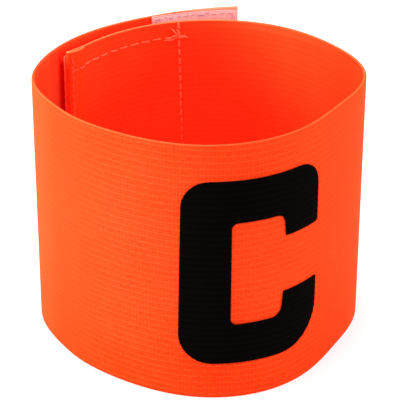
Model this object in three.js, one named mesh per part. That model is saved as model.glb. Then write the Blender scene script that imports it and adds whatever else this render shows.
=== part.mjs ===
// Captain armband: one wide strip of elastic webbing, closed into a loop that stands on its lower edge.
// Seen from above the strip runs clockwise from its hemmed inner end, round the loop, and its tail
// passes outside the inner end. A soft loop patch on the outer face of the inner end faces a hook patch
// on the inner face of the tail. A flocked block letter C, the plain mark of a captain, is on the front.
// Millimetres, +Z up, with the front facing -Y. Headings are degrees anticlockwise from +X, and turns are
// degrees travelled along the strip from its inner end.

import * as THREE from "three";

// Webbing strip
const BAND_WIDTH = 75;
const BAND_THICKNESS = 1;
const HEM_LENGTH = 8;

// Loop
const LOOP_RADIUS = 44;
const INNER_END_ANGLE = 159;
const TAIL_OVERLAP_ANGLE = 81;

// Outward step that takes the strip past its own inner end: its turn, and the turn left after it
const STEP_ANGLE = 44;
const STEP_LEAD_ANGLE = 14;

// Slack of the outer layer over the inner end, and the free tail's bend outwards and upwards
const SLACK_DEPTH = 1.5;
const SLACK_LEAD_ANGLE = 40;
const SLACK_ANGLE = 100;
const TAIL_FLARE = 4;
const FLARE_ANGLE = 43;
const TAIL_LIFT = 1.7;
const LIFT_ANGLE = 143;

// Hook and loop patches
const LOOP_PATCH_LENGTH = 46;
const LOOP_PATCH_THICKNESS = 1;
const LOOP_PATCH_MARGIN = 1.5;
const HOOK_PATCH_LENGTH = 28;
const HOOK_PATCH_THICKNESS = 1;
const HOOK_PATCH_HEIGHT = 72;
const HOOK_PATCH_DROP = 0.1;
const HOOK_PATCH_SKEW_ANGLE = 1.7;

// Letter
const LETTER_WIDTH = 41;
const LETTER_HEIGHT = 53.5;
const LETTER_THICKNESS = 0.5;
const LETTER_STEM = 13.3;
const LETTER_ARM = 12;
const LETTER_TERMINAL = 12;
const LETTER_HOOK = 6.5;
const LETTER_TOP_CORNER = 7.5;
const LETTER_FOOT_CORNER = 9;
const LETTER_INNER_CORNER = 2.6;
const LETTER_LEAN_ANGLE = 1.3;
const LETTER_RISE = 0.7;
const LETTER_ANGLE = 287.2;

// Clearances: under a sewn or bonded piece, and between the two patches where they meet
const SEAT_GAP = 0.25;
const CLOSURE_GAP = 0.4;

// Fineness of the facets
const STATION_LENGTH = 2.5;
const BAND_ROWS = 3;
const PATCH_ROWS = 3;
const STROKE_ROWS = 4;
const CORNER_STEPS = 5;
const TURN_STEPS = 450;

// Plan of the standing loop: control radii of a closed cubic spline, as shares of LOOP_RADIUS, at the
// upper edge (rim) and the lower edge (foot). One row a section, evenly spaced round the loop.
const LOOP_SECTIONS = [
  { heading: 0, rim: 1.065, foot: 1.06 },
  { heading: 30, rim: 0.985, foot: 0.99 },
  { heading: 60, rim: 1.03, foot: 1.035 },
  { heading: 90, rim: 1.005, foot: 1.005 },
  { heading: 120, rim: 0.96, foot: 0.965 },
  { heading: 150, rim: 0.92, foot: 0.935 },
  { heading: 180, rim: 0.97, foot: 0.99 },
  { heading: 210, rim: 1.025, foot: 1.03 },
  { heading: 240, rim: 0.995, foot: 0.995 },
  { heading: 270, rim: 1.1, foot: 1.105 },
  { heading: 300, rim: 1.05, foot: 1.085 },
  { heading: 330, rim: 0.905, foot: 0.925 },
];

// Finishes
const webbing = new THREE.MeshStandardMaterial({ color: 0xf75f26, roughness: 0.85, metalness: 0 });
const pile = new THREE.MeshStandardMaterial({ color: 0xff5b42, roughness: 0.95, metalness: 0 });
const hooks = new THREE.MeshStandardMaterial({ color: 0xf9a8a4, roughness: 0.45, metalness: 0 });
const flock = new THREE.MeshStandardMaterial({ color: 0x0c0908, roughness: 0.95, metalness: 0 });

const { clamp, degToRad, euclideanModulo, lerp, smootherstep } = THREE.MathUtils;
const FULL_ANGLE = 360;
const STRIP_ANGLE = FULL_ANGLE + TAIL_OVERLAP_ANGLE;

// Distance between the middles of the two layers where the patches meet
const LAYER_STEP =
  BAND_THICKNESS + LOOP_PATCH_THICKNESS + HOOK_PATCH_THICKNESS + 2 * SEAT_GAP + CLOSURE_GAP;

// Share, from 0 to 1, of a stretch that starts at a turn and lasts a given number of degrees
const progress = (turn, start, length) => clamp((turn - start) / length, 0, 1);

// Radius of the loop's plan at a heading, for the rim or foot column of the table
function sectionRadius(heading, column) {
  const count = LOOP_SECTIONS.length;
  const place = (euclideanModulo(heading, FULL_ANGLE) / FULL_ANGLE) * count;
  const first = Math.floor(place);
  const f = place - first;
  const weights = [
    (1 - f) ** 3,
    3 * f ** 3 - 6 * f ** 2 + 4,
    -3 * f ** 3 + 3 * f ** 2 + 3 * f + 1,
    f ** 3,
  ];
  const share = weights.reduce(
    (sum, weight, k) => sum + (weight / 6) * LOOP_SECTIONS[(first + k - 1 + count) % count][column],
    0,
  );
  return LOOP_RADIUS * share;
}

// How far the strip runs outside the loop's plan at a turn
function outwardShift(turn) {
  const stepStart = FULL_ANGLE - STEP_LEAD_ANGLE - STEP_ANGLE;
  const step = LAYER_STEP * smootherstep(turn, stepStart, stepStart + STEP_ANGLE);
  const loosened = progress(turn, FULL_ANGLE - SLACK_LEAD_ANGLE, SLACK_ANGLE);
  const slack = SLACK_DEPTH * Math.sin(Math.PI * loosened) ** 2;
  const flare = TAIL_FLARE * progress(turn, STRIP_ANGLE - FLARE_ANGLE, FLARE_ANGLE) ** 2;
  return step + slack + flare;
}

// How far the strip has risen off the surface at a turn
const lift = (turn) => TAIL_LIFT * progress(turn, STRIP_ANGLE - LIFT_ANGLE, LIFT_ANGLE) ** 2;

// Middle of the wall in plan at a turn and a level, which is 0 at the foot and 1 at the rim
function planPoint(turn, level) {
  const heading = INNER_END_ANGLE - turn;
  const plan = lerp(sectionRadius(heading, "foot"), sectionRadius(heading, "rim"), level);
  const radius = plan + outwardShift(turn);
  const angle = degToRad(heading);
  return new THREE.Vector2(radius * Math.cos(angle), radius * Math.sin(angle));
}

// Point of the wall at a turn, a height above its lower edge and an outward distance from its middle
function wallPoint(turn, height, outward) {
  const level = height / BAND_WIDTH;
  const before = planPoint(turn - 0.5, level);
  const middle = planPoint(turn, level);
  const along = planPoint(turn + 0.5, level).sub(before).normalize();
  return new THREE.Vector3(
    middle.x - outward * along.y,
    middle.y + outward * along.x,
    height + lift(turn),
  );
}

// Distance along the strip from its inner end, measured at half height, after each small step of turn
const ANGLE_OF_STEP = STRIP_ANGLE / TURN_STEPS;
const distances = [0];
for (let step = 1; step <= TURN_STEPS; step += 1) {
  const start = planPoint((step - 1) * ANGLE_OF_STEP, 0.5);
  const end = planPoint(step * ANGLE_OF_STEP, 0.5);
  distances.push(distances[step - 1] + end.distanceTo(start));
}
const STRIP_LENGTH = distances[TURN_STEPS];

// Turn at a distance along the strip
function turnAt(distance) {
  const after = clamp(distances.findIndex((value) => value >= distance), 1, TURN_STEPS);
  const share = (distance - distances[after - 1]) / (distances[after] - distances[after - 1]);
  return (after - 1 + share) * ANGLE_OF_STEP;
}

// Distance along the strip at a turn
function distanceAt(turn) {
  const place = turn / ANGLE_OF_STEP;
  return lerp(distances[Math.floor(place)], distances[Math.ceil(place)], place % 1);
}

// Evenly spaced values from one number to another, no further apart than a given length
function evenly(from, to, spacing) {
  const steps = Math.max(1, Math.ceil((to - from) / spacing));
  return Array.from({ length: steps + 1 }, (_, step) => lerp(from, to, step / steps));
}

// Closed body between two skins of a grid. place(column, row, skin) gives the point of the grid on the
// inner skin, 0, or the outer skin, 1. Columns run along the strip and rows run up it.
function shell(columns, rows, place) {
  const positions = [];
  for (const skin of [0, 1]) {
    for (let column = 0; column < columns; column += 1) {
      for (let row = 0; row < rows; row += 1) {
        positions.push(...place(column, row, skin).toArray());
      }
    }
  }
  const id = (column, row, skin) => (skin * columns + column) * rows + row;
  const faces = [];
  const quad = (a, b, c, d) => faces.push(a, b, c, a, c, d);
  const lastColumn = columns - 1;
  const lastRow = rows - 1;
  for (let i = 0; i < lastColumn; i += 1) {
    for (let j = 0; j < lastRow; j += 1) {
      quad(id(i, j, 1), id(i, j + 1, 1), id(i + 1, j + 1, 1), id(i + 1, j, 1));
      quad(id(i, j, 0), id(i + 1, j, 0), id(i + 1, j + 1, 0), id(i, j + 1, 0));
    }
    quad(id(i, 0, 0), id(i, 0, 1), id(i + 1, 0, 1), id(i + 1, 0, 0));
    quad(id(i, lastRow, 1), id(i, lastRow, 0), id(i + 1, lastRow, 0), id(i + 1, lastRow, 1));
  }
  for (let j = 0; j < lastRow; j += 1) {
    quad(id(0, j, 0), id(0, j + 1, 0), id(0, j + 1, 1), id(0, j, 1));
    quad(id(lastColumn, j, 1), id(lastColumn, j + 1, 1), id(lastColumn, j + 1, 0), id(lastColumn, j, 0));
  }
  const geometry = new THREE.BufferGeometry();
  geometry.setAttribute("position", new THREE.Float32BufferAttribute(positions, 3));
  geometry.setIndex(faces);
  geometry.computeVertexNormals();
  return geometry;
}

function named(name, geometry, material) {
  const mesh = new THREE.Mesh(geometry, material);
  mesh.name = name;
  return mesh;
}

// Inner and outer faces of the webbing at a distance along it, as outward distances from its middle.
// The hem is a second layer folded to the inner side, with a round fold at the strip's inner end.
function bandFaces(distance) {
  const face = BAND_THICKNESS / 2;
  if (distance > HEM_LENGTH) return [-face, face];
  const short = Math.max(0, BAND_THICKNESS - distance);
  const round = Math.sqrt(BAND_THICKNESS ** 2 - short ** 2);
  return [-face - round, -face + round];
}

function band() {
  const foldAngles = [25, 45, 65, 90];
  const fold = foldAngles.map((angle) => BAND_THICKNESS * (1 - Math.cos(degToRad(angle))));
  const hem = evenly(BAND_THICKNESS, HEM_LENGTH, STATION_LENGTH).slice(1);
  const rest = evenly(HEM_LENGTH + BAND_THICKNESS / 2, STRIP_LENGTH, STATION_LENGTH);
  const stations = [...fold, ...hem, ...rest];
  return shell(stations.length, BAND_ROWS + 1, (column, row, skin) => {
    const faces = bandFaces(stations[column]);
    return wallPoint(turnAt(stations[column]), (row / BAND_ROWS) * BAND_WIDTH, faces[skin]);
  });
}

// Sheet that follows the wall between two distances along it. footAt gives its lower edge's height.
function patch(from, to, height, footAt, innerFace, outerFace) {
  const stations = evenly(from, to, STATION_LENGTH);
  return shell(stations.length, PATCH_ROWS + 1, (column, row, skin) => {
    const rise = footAt(stations[column]) + (row / PATCH_ROWS) * height;
    return wallPoint(turnAt(stations[column]), rise, skin ? outerFace : innerFace);
  });
}

function loopPatch() {
  const height = BAND_WIDTH - 2 * LOOP_PATCH_MARGIN;
  const seat = BAND_THICKNESS / 2 + SEAT_GAP;
  return patch(0, LOOP_PATCH_LENGTH, height, () => LOOP_PATCH_MARGIN, seat, seat + LOOP_PATCH_THICKNESS);
}

function hookPatch() {
  const from = STRIP_LENGTH - HOOK_PATCH_LENGTH;
  const seat = BAND_THICKNESS / 2 + SEAT_GAP;
  const top = BAND_WIDTH - HOOK_PATCH_DROP;
  const slope = Math.tan(degToRad(HOOK_PATCH_SKEW_ANGLE));
  const footAt = (distance) => top - HOOK_PATCH_HEIGHT - slope * (distance - from);
  return patch(from, STRIP_LENGTH, HOOK_PATCH_HEIGHT, footAt, -seat - HOOK_PATCH_THICKNESS, -seat);
}

// One edge of the letter's stroke, from its upper end round to its lower end, about the letter's middle
function strokeEdge({ left, right, top, bottom, topCorner, footCorner, mouth }) {
  const corners = [
    { u: right - topCorner, v: top - topCorner, radius: topCorner },
    { u: left + topCorner, v: top - topCorner, radius: topCorner },
    { u: left + footCorner, v: bottom + footCorner, radius: footCorner },
    { u: right - footCorner, v: bottom + footCorner, radius: footCorner },
  ];
  const points = [new THREE.Vector2(right, mouth)];
  const straightTo = (end, length) => {
    const start = points[points.length - 1].clone();
    const steps = Math.ceil(length / STATION_LENGTH);
    for (let step = 1; step <= steps; step += 1) {
      points.push(start.clone().lerp(end, step / steps));
    }
  };
  const straights = [LETTER_HOOK, LETTER_WIDTH, LETTER_HEIGHT, LETTER_WIDTH];
  corners.forEach(({ u, v, radius }, quarter) => {
    const onCorner = (share) => {
      const angle = (Math.PI / 2) * (quarter + share);
      return new THREE.Vector2(u + radius * Math.cos(angle), v + radius * Math.sin(angle));
    };
    straightTo(onCorner(0), straights[quarter]);
    for (let step = 1; step <= CORNER_STEPS; step += 1) {
      points.push(onCorner(step / CORNER_STEPS));
    }
  });
  straightTo(new THREE.Vector2(right, -mouth), LETTER_HOOK);
  return points;
}

function letter() {
  const mouth = LETTER_HEIGHT / 2 - LETTER_ARM - LETTER_HOOK;
  const outer = strokeEdge({
    left: -LETTER_WIDTH / 2,
    right: LETTER_WIDTH / 2,
    top: LETTER_HEIGHT / 2,
    bottom: -LETTER_HEIGHT / 2,
    topCorner: LETTER_TOP_CORNER,
    footCorner: LETTER_FOOT_CORNER,
    mouth,
  });
  const inner = strokeEdge({
    left: -LETTER_WIDTH / 2 + LETTER_STEM,
    right: LETTER_WIDTH / 2 - LETTER_TERMINAL,
    top: LETTER_HEIGHT / 2 - LETTER_ARM,
    bottom: -LETTER_HEIGHT / 2 + LETTER_ARM,
    topCorner: LETTER_INNER_CORNER,
    footCorner: LETTER_INNER_CORNER,
    mouth,
  });
  const lean = Math.tan(degToRad(LETTER_LEAN_ANGLE));
  const middle = distanceAt(INNER_END_ANGLE + FULL_ANGLE - LETTER_ANGLE);
  const seat = BAND_THICKNESS / 2 + SEAT_GAP;
  return shell(outer.length, STROKE_ROWS + 1, (column, row, skin) => {
    const point = inner[column].clone().lerp(outer[column], row / STROKE_ROWS);
    const distance = middle - (point.x + lean * point.y);
    const height = BAND_WIDTH / 2 + LETTER_RISE + point.y;
    return wallPoint(turnAt(distance), height, seat + skin * LETTER_THICKNESS);
  });
}

const armband = new THREE.Group();
armband.add(
  named("band", band(), webbing),
  named("loop_patch", loopPatch(), pile),
  named("hook_patch", hookPatch(), hooks),
  named("letter_c", letter(), flock),
);

// The origin is the middle of the armband's box in plan, on the surface that it stands on
const box = new THREE.Box3().setFromObject(armband);
const centre = box.getCenter(new THREE.Vector3());
armband.children.forEach((mesh) => mesh.geometry.translate(-centre.x, -centre.y, -box.min.z));

export default armband;
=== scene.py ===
"""Dresses the captain armband: webbing, closure, flocked letter, stitches, floor and light."""

import math
from functools import cached_property

import bmesh
import bpy
import numpy as np
from mathutils import Matrix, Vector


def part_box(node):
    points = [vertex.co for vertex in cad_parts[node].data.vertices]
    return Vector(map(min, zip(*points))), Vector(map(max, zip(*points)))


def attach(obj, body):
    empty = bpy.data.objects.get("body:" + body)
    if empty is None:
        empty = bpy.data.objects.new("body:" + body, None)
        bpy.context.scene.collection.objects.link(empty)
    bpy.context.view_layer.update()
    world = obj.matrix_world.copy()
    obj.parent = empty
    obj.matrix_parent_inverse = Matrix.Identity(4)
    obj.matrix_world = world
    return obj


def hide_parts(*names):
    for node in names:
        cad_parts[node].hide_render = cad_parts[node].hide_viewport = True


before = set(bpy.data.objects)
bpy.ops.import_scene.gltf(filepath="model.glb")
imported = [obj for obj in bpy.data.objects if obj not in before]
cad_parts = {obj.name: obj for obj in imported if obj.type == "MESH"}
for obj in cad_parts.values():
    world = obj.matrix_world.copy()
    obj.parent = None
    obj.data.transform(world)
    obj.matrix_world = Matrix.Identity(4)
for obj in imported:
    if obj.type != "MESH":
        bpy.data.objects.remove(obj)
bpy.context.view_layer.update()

bl_info = {
    "name": "Captain Armband",
    "version": (1, 0, 0),
    "blender": (4, 5, 0),
    "location": "View3D > Sidebar > Armband",
    "description": "Builds the cloth, closure, letter and stitching of a captain armband",
    "category": "Object",
}

# Metres in a millimetre. Flat pieces are drawn in millimetres and bent onto the loop in metres.
MM = 0.001
# Millimetres by which the strip worked out here may differ from the packed solid
SOLID_TOLERANCE = 0.5

# The strip and its closure, in millimetres, as the solids have them
BAND_WIDTH = 75.0
BAND_THICKNESS = 1.0
HEM_LENGTH = 8.0
LOOP_RADIUS = 44.0
LAYER_STEP = 3.9
SLACK_DEPTH = 1.5
TAIL_FLARE = 4.0
TAIL_LIFT = 1.7
LOOP_PATCH_LENGTH = 46.0
LOOP_PATCH_MARGIN = 1.5
HOOK_PATCH_LENGTH = 28.0
HOOK_PATCH_HEIGHT = 72.0
HOOK_PATCH_DROP = 0.1
LETTER_RISE = 0.7

# Degrees of turn from the inner end, and headings seen from above
INNER_END_HEADING = 159.0
STRIP_TURN = 441.0
STEP_FROM = 302.0
STEP_TO = 346.0
SLACK_FROM = 320.0
SLACK_TO = 420.0
FLARE_FROM = 398.0
LIFT_FROM = 298.0
HOOK_PATCH_SKEW = 1.7
LETTER_HEADING = 287.2
LETTER_LEAN = 1.3

# Shares of LOOP_RADIUS at the rim and the foot, at every thirty degrees of heading
RIM_SHARES = (1.065, 0.985, 1.03, 1.005, 0.96, 0.92, 0.97, 1.025, 0.995, 1.1, 1.05, 0.905)
FOOT_SHARES = (1.06, 0.99, 1.035, 1.005, 0.965, 0.935, 0.99, 1.03, 0.995, 1.105, 1.085, 0.925)

# The hem: radius and reach of its fold, how its end rises, how its raw edge is pressed flat, and
# how soon a seam comes down from it
FOLD_RADIUS = 0.47
FOLD_REACH = 0.6
FOLD_CENTRE = FOLD_RADIUS + BAND_THICKNESS / 2 - FOLD_REACH
FOLD_CLEAR = 0.6
HEM_STATION = 1.1
HEM_RISE = 1.1
HEM_RISE_LENGTH = 11.0
PRESSED_MIDDLE = 0.27
PRESSED_FACE = 0.5
PRESSED_LENGTH = 1.5
HEM_STEP = 1.4

# The webbing's ribs: the selvage beside them, and the sections drawn for each of them
SELVAGE = 0.5
SELVAGE_STEPS = (0, 0.05, 0.15, 0.3)
RIB_BODY = BAND_WIDTH - 2 * SELVAGE
RIB_STEPS = 6

# Share of a thread's thickness left at its ends, and the painted glow that lifts orange thread
THREAD_TIP = 0.55
THREAD_GLOW = 0.12

# How far each piece stands off the middle of the webbing, and how much the ribs lift the letter
LOOP_TAPE_OFFSET = 0.55
HOOK_TAPE_OFFSET = 0.5
FILM_OFFSET = 0.42
FILM_RIBS = 0.12
FACE_OFFSET = 0.46

# The patches: spacing of their cuts along and up, eased edges, and thickness of pile and hooks
TAPE_GRID = (1.3, 4.0)
TAPE_EDGE = 0.12
PILE_MARGIN = 0.6
PILE_THREAD = 0.07
HOOK_THREAD = 0.11
HOOK_STRAY = 0.35

# The hook patch: share of its length that it keeps once sewn on, and how far in its seams run
HOOK_PATCH_CUT = 0.98
HOOK_SEAM_SIDES = 1.6
HOOK_SEAM_TOP = 1.05
HOOK_SEAM_FOOT = 1.7
HOOK_SEAM_TILT = 1.2

# The letter's film: spacing of its cuts, eased edges, and how far its cut is from square. The
# stem's inner edge slants from the lower arm to the upper one, and the ends' at four heights.
FILM_GRID = (1.25, 0.45)
FILM_EDGE = 0.14
STEM_SLANT = (0.35, -0.1)
END_SLANT = (1.0, 0.4, 0.1, 0.8)
FOOT_SAG = (0.3, 0.6, 0)

# Millimetres within which a corner is taken as standing at its place
AT_CORNER = 0.05

# Stretches of the strip where ribs or colours differ, in millimetres from its inner end.
# With four places the change starts, is full, begins to fade and is gone.
FLAT_END = (6, 12)
FLAT_BEND = (100, 130, 148, 176)
FLAT_LEFT = (216, 236)
# Stretches of painted highlight on the loop's right and left sides
RIGHT_SIDE_HIGHLIGHT = (98, 118, 122, 154)
LEFT_SIDE_HIGHLIGHT = (241, 254, 268, 285)
# Stretch of painted shade on the inner face
INSIDE_SHADE_STRETCH = (68, 112, 190, 230)
# Painted light through one layer, then painted shadow in the gap beside the hem
SHINE_THROUGH = (276, 283, 284.8, 287)
GAP_SHADOW = (285.3, 288.2, 300, 306)
RIBS_FADE = (50, 75)
# Stretches near both ends where the painted edge highlight is stronger
HEM_END_HIGHLIGHT = (50, 80)
TAIL_END_HIGHLIGHT = (290, 310)
THREAD_FADE = (0, 16)
# Where the painted shade on the soft patch's first edge lies
PILE_EDGE_SHADE = (-0.3, 0.5)

# Heights on the strip, and offsets from its middle, between which a look changes
FOOT_SHADE = (2, 36)
DEEP_SHADE = (15, 65)
INNER_SEAM_SHADE = (30, 70)
PILE_EDGE_SHADE_TOP = (62, 70.5)
GAP_TOP = (70.0, 72.2)
TOP_SHINE = (BAND_WIDTH - 2.6, BAND_WIDTH - 0.8)
TAIL_TOP = (BAND_WIDTH - 2.0, BAND_WIDTH - 1.4)
ROUNDED_EDGE = (0.25, 0.43)
INNER_TO_OUTER = (-0.3, 0.3)

# Spacing of the woven picks and weft, of the hook tape's rows and of its yarns
PICK_SPACING = 1.02
WEFT_SPACING = 0.68
HOOK_ROW_SPACING = 0.65
TAPE_YARN_SPACING = 0.5

# Metres from the floor's middle between which its painted shadow disc ends
FLOOR_SHADOW_DISC = (0.02, 0.06)

# The camera, in metres and degrees
CAMERA_PLACE = (0.00048, -0.4047, 0.2374)
CAMERA_PITCH = 26.54
CAMERA_ROLL = -0.15
CAMERA_LENS = 140.6


def progress(value, low, high):
    """Share of the way from the low value to the high one, held at nought and one outside."""
    return np.clip((value - low) / (high - low), 0, 1)


def cubic_ring(shares, heading):
    """Smooth closed curve through twelve even rows, read at each heading."""
    place = np.mod(heading, 360) / 30
    first = np.floor(place).astype(int)
    part = place - first
    weights = (
        (1 - part) ** 3,
        3 * part**3 - 6 * part**2 + 4,
        -3 * part**3 + 3 * part**2 + 3 * part + 1,
        part**3,
    )
    rows = np.array(shares)
    total = sum(weight * rows[(first + step - 1) % 12] for step, weight in enumerate(weights))
    return LOOP_RADIUS * total / 6


class Wall:
    """Tells where a point of the flat strip stands once the strip is closed into its loop."""

    def __init__(self):
        self.turns = np.linspace(-4, STRIP_TURN + 4, 1201)
        line = self.plan(self.turns, 0.5)
        steps = np.hypot(*np.diff(line, axis=0).T)
        run = np.concatenate([[0], np.cumsum(steps)])
        self.distances = run - np.interp(0, self.turns, run)
        self.length = float(np.interp(STRIP_TURN, self.turns, self.distances))
        self.centre = np.zeros(3)
        self.meet_the_solid()

    def plan(self, turn, level):
        """Middle of the webbing seen from above, at a share of its height."""
        heading = INNER_END_HEADING - turn
        rim, foot = cubic_ring(RIM_SHARES, heading), cubic_ring(FOOT_SHARES, heading)
        eased = progress(turn, STEP_FROM, STEP_TO)
        step = eased**3 * (eased * (6 * eased - 15) + 10)
        slack = np.sin(math.pi * progress(turn, SLACK_FROM, SLACK_TO)) ** 2
        flare = progress(turn, FLARE_FROM, STRIP_TURN) ** 2
        shift = LAYER_STEP * step + SLACK_DEPTH * slack + TAIL_FLARE * flare
        radius = foot * (1 - level) + rim * level + shift
        angle = np.radians(heading)
        return np.stack([radius * np.cos(angle), radius * np.sin(angle)], axis=-1)

    def place(self, flat):
        """Points of the loop in metres, from distance, height and offset in millimetres."""
        distance, height, outward = np.asarray(flat, float).T
        turn = np.interp(distance, self.distances, self.turns)
        level = height / BAND_WIDTH
        ahead = self.plan(turn + 0.5, level) - self.plan(turn - 0.5, level)
        ahead /= np.linalg.norm(ahead, axis=1)[:, None]
        middle = self.plan(turn, level)
        lift = TAIL_LIFT * progress(turn, LIFT_FROM, STRIP_TURN) ** 2
        lift = lift + HEM_RISE * level * (1 - progress(distance, 0, HEM_RISE_LENGTH)) ** 2
        x = middle[:, 0] - outward * ahead[:, 1]
        y = middle[:, 1] + outward * ahead[:, 0]
        return np.stack([x, y, height + lift], axis=1) * MM - self.centre

    def meet_the_solid(self):
        """Shifts the loop so that its plan lies where the packed strip's does."""
        half = BAND_THICKNESS / 2
        grid = np.meshgrid(np.linspace(0, self.length, 700), (0, BAND_WIDTH), (-half, half))
        points = self.place(np.stack([axis.ravel() for axis in grid], axis=1))
        low, high = (np.array(corner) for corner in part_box("band"))
        if np.abs((points.max(0) - points.min(0)) - (high - low)).max() > SOLID_TOLERANCE * MM:
            raise RuntimeError("the strip's sizes differ from the packed solid's")
        self.centre = (points.max(0) + points.min(0)) / 2 - (high + low) / 2


WALL = Wall()
TAIL_END = (WALL.length - 20, WALL.length - 10)
HOOK_PATCH_START = WALL.length - HOOK_PATCH_LENGTH
HOOK_PATCH_TOP = BAND_WIDTH - HOOK_PATCH_DROP
HOOK_PATCH_SLOPE = math.tan(math.radians(HOOK_PATCH_SKEW))


def wander(distance, height):
    """How far a rib strays from its line, in ribs, as the elastic's tension varies."""
    slow = 0.10 * np.sin(distance / 23.0 + height * 0.11)
    middle = 0.07 * np.sin(distance / 9.1 + 1.7 + height * 0.23)
    quick = 0.05 * np.sin(distance / 4.3 + 0.6 - height * 0.41)
    return slow + middle + quick


def rib_phase(distance, height, count):
    """Ribs counted from the foot of the strip."""
    return (height - SELVAGE) / RIB_BODY * count + wander(distance, height)


def rib_relief(distance, height, count):
    """Height of the ribs from nought in a groove to one on a strong ridge."""
    ridge = 0.5 - 0.5 * np.cos(2 * math.pi * rib_phase(distance, height, count))
    strength = 0.8 + 0.2 * np.sin(distance / 13.0 + height * 0.9) * np.sin(height / 5.3 + 0.4)
    bend = progress(distance, *FLAT_BEND[:2]) * (1 - progress(distance, *FLAT_BEND[2:]))
    strength = strength * (1 - 0.75 * progress(distance, *FLAT_LEFT)) * (1 - 0.75 * bend)
    return ridge**3 * strength * (0.3 + 0.7 * progress(distance, *FLAT_END))


# Sizes and colours that a user would change


def length_setting(name, description, default):
    """A length of the armband in metres."""
    return bpy.props.FloatProperty(
        name=name, description=description, default=default, min=0, precision=5, unit="LENGTH"
    )


def colour_setting(name, description, default):
    """A colour of the armband."""
    return bpy.props.FloatVectorProperty(
        name=name, description=description, default=default, size=3, min=0, max=1, subtype="COLOR"
    )


class ArmbandWebbing(bpy.types.PropertyGroup):
    """Sizes of the ribbed elastic webbing."""

    ribs: bpy.props.IntProperty(
        name="Ribs", description="Ribs across the webbing", default=42, min=8, max=60
    )
    rib_rise: length_setting("Rib rise", "Height of a ridge above its grooves", 0.00008)
    half_thickness: length_setting("Half thickness", "Middle of the webbing to a groove", 0.00043)
    station: length_setting("Station", "Spacing of the sections along the strip", 0.0026)
    hem_puff: length_setting("Hem puff", "How far the folded layer stands off the strip", 0.0002)


class ArmbandClosure(bpy.types.PropertyGroup):
    """Sizes of the hook and loop patches."""

    tape: length_setting("Tape", "Thickness of each patch's woven tape", 0.0005)
    pile: length_setting("Pile", "Height of the soft loops over their tape", 0.0006)
    hook: length_setting("Hook", "Height of the hooks over their tape", 0.00055)
    corner: length_setting("Corner", "Radius of the patches' corners", 0.0004)
    loops: bpy.props.IntProperty(
        name="Loops", description="Pile loops on the soft patch", default=1500, min=0, max=4000
    )
    hook_spacing: length_setting("Hook spacing", "Distance between hooks in a row", 0.0013)


class ArmbandLetter(bpy.types.PropertyGroup):
    """Sizes of the captain's letter."""

    width: length_setting("Width", "Width of the letter", 0.041)
    height: length_setting("Height", "Height of the letter", 0.0535)
    stem: length_setting("Stem", "Width of the upright stroke", 0.0133)
    arm: length_setting("Arm", "Height of the two level strokes", 0.012)
    terminal: length_setting("Terminal", "Width of the two short ends", 0.012)
    terminal_drop: length_setting("Terminal drop", "Reach of the short ends past the arms", 0.0065)
    top_corner: length_setting("Top corner", "Radius of the two upper outer corners", 0.0075)
    foot_corner: length_setting("Foot corner", "Radius of the two lower outer corners", 0.009)
    inner_corner: length_setting("Inner corner", "Radius inside the two short ends", 0.0026)
    stem_corner: length_setting("Stem corner", "Radius of the inner corners at the stem", 0.0017)
    blunt_foot: length_setting("Blunt foot", "Added radius of the foot corner by the end", 0.003)
    blunt_end: length_setting("Blunt end", "Radius of the upper short end's free corner", 0.0009)
    flock: length_setting("Flock", "Thickness of the flocked film", 0.00045)


class ArmbandStitches(bpy.types.PropertyGroup):
    """Sizes of the stitching."""

    thread: length_setting("Thread", "Thickness of the sewing thread", 0.00052)
    pitch: length_setting("Pitch", "Distance from one stitch to the next", 0.0031)
    stitch: length_setting("Stitch", "Length of one stitch on the surface", 0.0024)


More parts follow.
